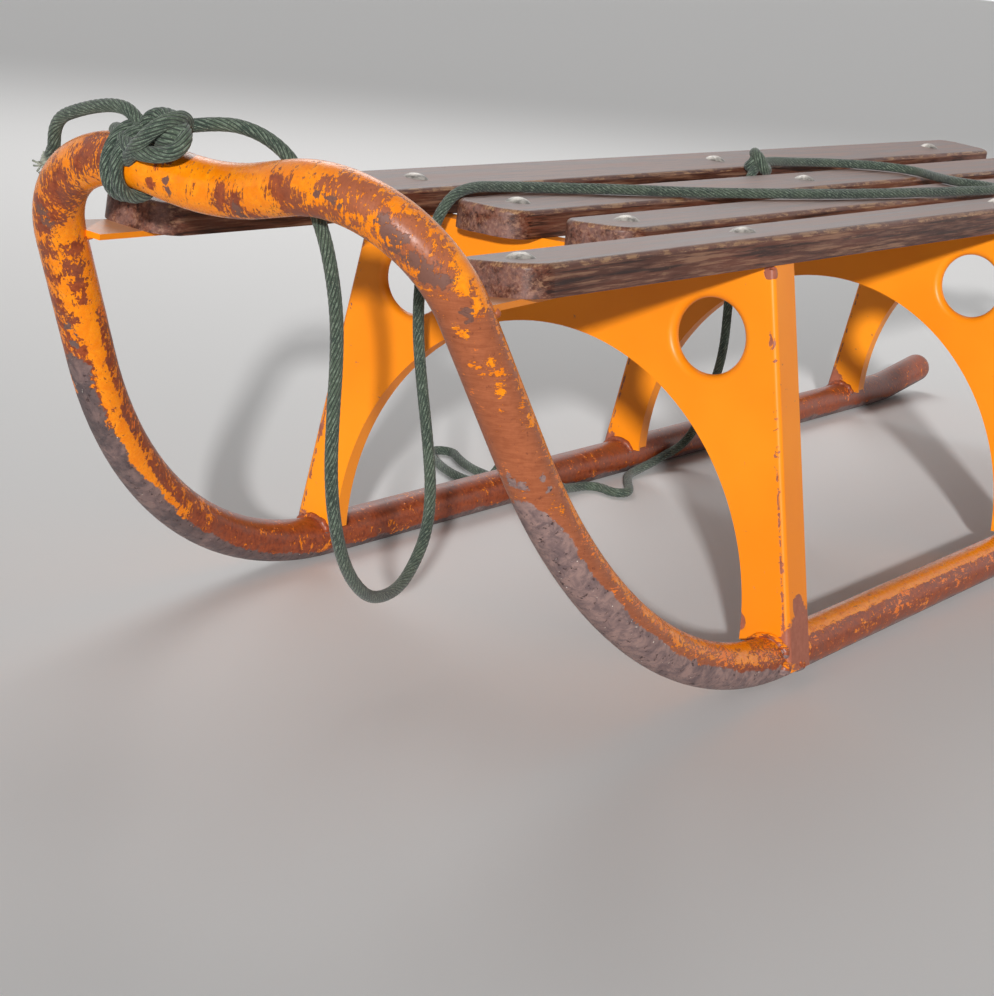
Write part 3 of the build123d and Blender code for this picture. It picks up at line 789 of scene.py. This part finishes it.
def skin_faces(count, rises, closed):
    """The faces between the rings and the UV corners of each, with a cap on each open end."""
    faces, corners = [], []
    for i in range(len(rises) - 1):
        here, there = i * FACES_ROUND, (i + 1) % count * FACES_ROUND
        v0, v1 = rises[i], rises[i + 1]
        for k in range(FACES_ROUND):
            n = (k + 1) % FACES_ROUND
            u0, u1 = k / FACES_ROUND, (k + 1) / FACES_ROUND
            faces.append((here + k, here + n, there + n, there + k))
            corners += [(u0, v0), (u1, v0), (u1, v1), (u0, v1)]
    if not closed:
        faces.append(tuple(reversed(range(FACES_ROUND))))
        faces.append(tuple(range((count - 1) * FACES_ROUND, count * FACES_ROUND)))
        corners += [(0.0, 0.0)] * FACES_ROUND * 2
    return faces, corners


def laid_rope(name, spots, diameter, closed=False):
    """Laid rope along a line's points: a tube whose strands turn once in each lay."""
    along = lengths_along(spots, closed)
    turns = along[-1] / ROPE_LAY
    if closed:
        turns = round(turns)
    headings, sides = headings_and_sides(spots, closed)
    slip = closing_turn(headings, sides) if closed else 0.0
    verts = []
    for spot, heading, side, length in zip(spots, headings, sides, along):
        share = length / along[-1]
        verts += strand_ring(spot, heading, side, diameter, 2 * pi * turns * share, slip * share)
    faces, corners = skin_faces(len(spots), [turns * length / along[-1] for length in along], closed)
    mesh = bpy.data.meshes.new(name)
    mesh.from_pydata(verts, [], faces)
    layer = mesh.uv_layers.new(name="UVMap")
    for loop, corner in zip(layer.data, corners):
        loop.uv = corner
    for polygon in mesh.polygons:
        polygon.use_smooth = True
    mesh.materials.append(rope_fibre)
    piece = bpy.data.objects.new(name, mesh)
    bpy.context.collection.objects.link(piece)
    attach(piece, "root")
    return piece


main_line = smooth_line(ROPE_ROUTE)
main_rope = laid_rope("pull_rope", main_line, ROPE_D)
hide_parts("rope")
tail_line = smooth_line(TAIL_ROUTE)
tail = laid_rope("rope_end", tail_line, ROPE_D)
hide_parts("rope_tail")

# Frayed yarns at the rope's open end
YARNS = 34
YARN_R = 0.0005
YARN_REACH = (0.003, 0.006)
YARN_SPREAD = 0.0020
YARN_CURL = 0.0022
YARN_ROOT = Vector((0.0, 0.0, 0.004))
YARN_SAG = Vector((0.0, 0.0, -0.0015))
fray_draw = random.Random(3)


def any_way(low, high):
    """A random direction, whose upward part is from low to high."""
    return Vector((fray_draw.uniform(-1, 1), fray_draw.uniform(-1, 1), fray_draw.uniform(low, high)))


def fray_loose_end(end_at):
    """Short bent yarns that spread from the cut end."""
    yarns = bpy.data.curves.new("frayed_end", "CURVE")
    yarns.dimensions = "3D"
    yarns.bevel_depth = YARN_R
    yarns.bevel_resolution = 1
    yarns.resolution_u = 4
    for i in range(YARNS):
        yarn = yarns.splines.new("NURBS")
        yarn.points.add(3)
        away = any_way(-1.3, 0.3)
        across = any_way(-0.4, 0.4) * YARN_SPREAD
        reach = fray_draw.uniform(*YARN_REACH)
        curl = any_way(-1, 0.5) * YARN_CURL
        bends = (YARN_ROOT, Vector(), away * reach * 0.45 + YARN_SAG, away * reach * 0.8 + curl)
        for point, offset in zip(yarn.points, bends):
            point.co = (*(end_at + across + offset), 1.0)
        yarn.order_u = 3
        yarn.use_endpoint_u = True
    lines = bpy.data.objects.new("frayed_end_line", yarns)
    bpy.context.collection.objects.link(lines)
    piece = bpy.data.objects.new("frayed_end", bpy.data.meshes.new_from_object(lines))
    bpy.data.objects.remove(lines)
    bpy.context.collection.objects.link(piece)
    piece.data.materials.clear()
    piece.data.materials.append(rope_fibre)
    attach(piece, "root")
    return piece


frayed_end = fray_loose_end(Vector(TAIL_ROUTE[-1]))

# Bar knot: two turns round the crossbar and the tied part
BAR_WAY = Vector((0.040, -0.997, 0.065)).normalized()
TURN_POINTS = 16
TURN_GAP = 0.0008
# each turn's centre on the bar's line, and how far it leans along the bar
KNOT_TURNS = (
    ((0.6107, -0.0468, 0.2645), 0.0020),
    ((0.6107, -0.0535, 0.2645), 0.0008),
)
KNOT_UNDER = (
    (0.6060, -0.0500, 0.2565),
    (0.5985, -0.0550, 0.2560),
    (0.5955, -0.0620, 0.2620),
    (0.5965, -0.0690, 0.2700),
    (0.6010, -0.0715, 0.2745),
    (0.6100, -0.0640, 0.2775),
    (0.6200, -0.0520, 0.2760),
    (0.6260, -0.0420, 0.2725),
    (0.6285, -0.0335, 0.2710),
    (0.6295, -0.0250, 0.2710),
    (0.6295, -0.0175, 0.2720),
    (0.6290, -0.0115, 0.2745),
    (0.6270, -0.0095, 0.2780),
    (0.6230, -0.0120, 0.2815),
    (0.6180, -0.0185, 0.2840),
    (0.6150, -0.0245, 0.2865),
    (0.6130, -0.0315, 0.2875),
    (0.6130, -0.0375, 0.2870),
    (0.6140, -0.0415, 0.2845),
    (0.6140, -0.0430, 0.2815),
)
KNOT_OVER = (
    (0.6220, -0.0455, 0.2660),
    (0.6280, -0.0380, 0.2710),
    (0.6320, -0.0300, 0.2760),
    (0.6335, -0.0240, 0.2810),
    (0.6320, -0.0200, 0.2845),
    (0.6280, -0.0180, 0.2870),
    (0.6220, -0.0175, 0.2880),
    (0.6170, -0.0185, 0.2880),
    (0.6125, -0.0195, 0.2850),
    (0.6120, -0.0225, 0.2800),
    (0.6150, -0.0270, 0.2765),
    (0.6190, -0.0310, 0.2755),
)
KNOT_CORE = (
    (0.6150, -0.0370, 0.2730),
    (0.6190, -0.0310, 0.2760),
    (0.6210, -0.0265, 0.2780),
    (0.6245, -0.0215, 0.2790),
    (0.6250, -0.0160, 0.2805),
    (0.6215, -0.0130, 0.2810),
)
# the tied strands: route and thickness
KNOT_STRANDS = {
    "bar_knot_under": (KNOT_UNDER, ROPE_D * 1.15),
    "bar_knot_over": (KNOT_OVER, ROPE_D * 1.1),
    "bar_knot_core": (KNOT_CORE, ROPE_D * 1.6),
}


def bar_turn(centre, lean):
    """Points of one turn of rope round the crossbar."""
    out = BAR_WAY.orthogonal().normalized()
    other = BAR_WAY.cross(out)
    ring = []
    for k in range(TURN_POINTS):
        angle = 2 * pi * k / TURN_POINTS
        spot = Vector(centre) + (TUBE_R + ROPE_D / 2 + TURN_GAP) * (cos(angle) * out + sin(angle) * other)
        ring.append(spot + BAR_WAY * (lean * sin(angle)))
    return ring


for number, (centre, lean) in enumerate(KNOT_TURNS, 1):
    turn_line = smooth_line(bar_turn(centre, lean), closed=True)
    laid_rope(f"bar_turn_{number}", turn_line, ROPE_D, closed=True)
for name, (route, thickness) in KNOT_STRANDS.items():
    laid_rope(name, smooth_line(route), thickness)
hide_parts("bar_knot")

# Seat knot
SEAT_KNOT = (
    (-0.0850, -0.0830, 0.2450),
    (-0.0750, -0.0800, 0.2480),
    (-0.0680, -0.0720, 0.2450),
    (-0.0690, -0.0680, 0.2380),
    (-0.0770, -0.0690, 0.2350),
    (-0.0850, -0.0740, 0.2370),
    (-0.0850, -0.0800, 0.2430),
    (-0.0780, -0.0790, 0.2460),
    (-0.0700, -0.0760, 0.2420),
    (-0.0670, -0.0780, 0.2370),
    (-0.0730, -0.0810, 0.2380),
)
seat_knot = laid_rope("seat_knot_tied", smooth_line(SEAT_KNOT), ROPE_D * 1.2)
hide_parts("seat_knot")

# Weld beads at the feet and the tabs
DROP_STEP = 0.75            # from one drop to the next, in radii
DROP_SIZE = (0.82, 1.12)    # in radii
DROP_STRAY = 0.12           # in radii
MELT_VOXEL = 0.0006
WELD_R = 0.0027
FLANGE_WELD_R = 0.0042
FEET = (("front", 0.3110), ("middle", -0.0615), ("rear", -0.4515))      # x of the web's front face
SIDES = (("left", 1), ("right", -1))
RUNNER_Y = 0.1555
WEB_WELD_R = 0.0130         # of the arc round the runner
WEB_WELD_X = 0.0004
WEB_WELD_ARC = range(146, 8, -14)       # degrees round the runner, from inside to outside
FLANGE_WELD_Y = 0.1672
FLANGE_WELD = ((0.0010, 0.0110), (-0.0245, 0.0095))     # x from the web, and z
TAB_WELD = ((0.5770, 0.1072), (0.5718, 0.1112), (0.5694, 0.1175), (0.5702, 0.1237), (0.5738, 0.1287))
TAB_WELD_Z = 0.2203
weld_draw = random.Random(7)


def weld_drop(place, radius):
    """One drop of weld, a little off its place and its size."""
    size = radius * weld_draw.uniform(*DROP_SIZE)
    stray = Vector([weld_draw.uniform(-DROP_STRAY, DROP_STRAY) * radius for axis in range(3)])
    bpy.ops.mesh.primitive_uv_sphere_add(segments=14, ring_count=8, radius=size, location=place + stray)
    return bpy.context.object


def weld_bead(name, path, radius):
    """A row of small overlapping drops, as a hand weld leaves them."""
    drops = []
    for a, b in zip(path, path[1:]):
        a, b = Vector(a), Vector(b)
        steps = max(1, round((b - a).length / (radius * DROP_STEP)))
        drops += [weld_drop(a.lerp(b, i / steps), radius) for i in range(steps)]
    bpy.ops.object.select_all(action="DESELECT")
    for drop in drops:
        drop.select_set(True)
    bpy.context.view_layer.objects.active = drops[0]
    bpy.ops.object.join()
    bead = bpy.context.object
    bpy.ops.object.transform_apply(location=True, rotation=True, scale=True)
    melt = bead.modifiers.new("melt", "REMESH")
    melt.mode = "VOXEL"
    melt.voxel_size = MELT_VOXEL
    bpy.ops.object.modifier_apply(modifier="melt")
    relax = bead.modifiers.new("relax", "SMOOTH")
    relax.factor = 0.5
    relax.iterations = 3
    bpy.ops.object.modifier_apply(modifier="relax")
    bpy.ops.object.shade_smooth()
    bead.name = name
    bead.data.materials.clear()
    bead.data.materials.append(worn_enamel)
    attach(bead, "root")


def web_weld(foot_x, s):
    """Points over the runner where a cross-member's web stands on it."""
    arc = []
    for degrees in WEB_WELD_ARC:
        turn = radians(degrees)
        y = s * (RUNNER_Y + WEB_WELD_R * cos(turn))
        arc.append((foot_x + WEB_WELD_X, y, TUBE_R + WEB_WELD_R * sin(turn)))
    return arc


for station, foot_x in FEET:
    for side, s in SIDES:
        weld_bead(f"{station}_{side}_web_weld", web_weld(foot_x, s), WELD_R)
        line = [(foot_x + x, s * FLANGE_WELD_Y, z) for x, z in FLANGE_WELD]
        weld_bead(f"{station}_{side}_flange_weld", line, FLANGE_WELD_R)
for side, s in SIDES:
    weld_bead(f"{side}_tab_weld", [(x, s * y, TAB_WELD_Z) for x, y in TAB_WELD], WELD_R)

# Floor and light
FLOOR_SIZE = 80.0
FLOOR_PALE = (0.86, 0.85, 0.84, 1.0)
WORLD_WHITE = (1.0, 1.0, 1.0, 1.0)
WORLD_LIGHT, WORLD_SEEN = 0.10, 1.0
KEY_AT, KEY_AIM = (2.82, 1.56, 0.92), (0.31, 0.075, 0.195)
KEY_STRENGTH, KEY_ANGLE = 3.5, radians(2.2)
BACK_AT, BACK_AIM = (-1.7, -1.5, 2.1), (0.0, 0.0, 0.1)
BACK_STRENGTH, BACK_SIZE = 26.0, 1.6


def lay_floor():
    bpy.ops.mesh.primitive_plane_add(size=FLOOR_SIZE, location=(0.0, 0.0, 0.0))
    floor = bpy.context.object
    floor.name = "floor"
    paint = Finish("floor_paint")
    paint.set("Base Color", FLOOR_PALE)
    paint.set("Roughness", 0.7)
    floor.data.materials.append(paint.material)


def light_world():
    """A white backdrop that gives only a little light."""
    world = bpy.data.worlds.new("studio")
    bpy.context.scene.world = world
    world.use_nodes = True
    sky = Recipe(world.node_tree)
    rays = sky.add("LightPath")
    shown = sky.most(rays.outputs["Is Camera Ray"], rays.outputs["Is Glossy Ray"])
    shown = sky.most(shown, rays.outputs["Is Transmission Ray"])
    background = world.node_tree.nodes["Background"]
    background.inputs["Color"].default_value = WORLD_WHITE
    sky.feed(sky.ramp(shown, 0.0, 1.0, WORLD_LIGHT, WORLD_SEEN), background.inputs["Strength"])


def aim_lamp(name, kind, place, aim, strength):
    data = bpy.data.lights.new(name, kind)
    data.energy = strength
    lamp = bpy.data.objects.new(name, data)
    lamp.location = place
    lamp.rotation_euler = (Vector(aim) - Vector(place)).to_track_quat("-Z", "Y").to_euler()
    bpy.context.collection.objects.link(lamp)
    return data


lay_floor()
light_world()
key = aim_lamp("key", "SUN", KEY_AT, KEY_AIM, KEY_STRENGTH)
key.angle = KEY_ANGLE
back = aim_lamp("back", "AREA", BACK_AT, BACK_AIM, BACK_STRENGTH)
back.size = BACK_SIZE

bpy.context.scene.view_settings.view_transform = "Standard"
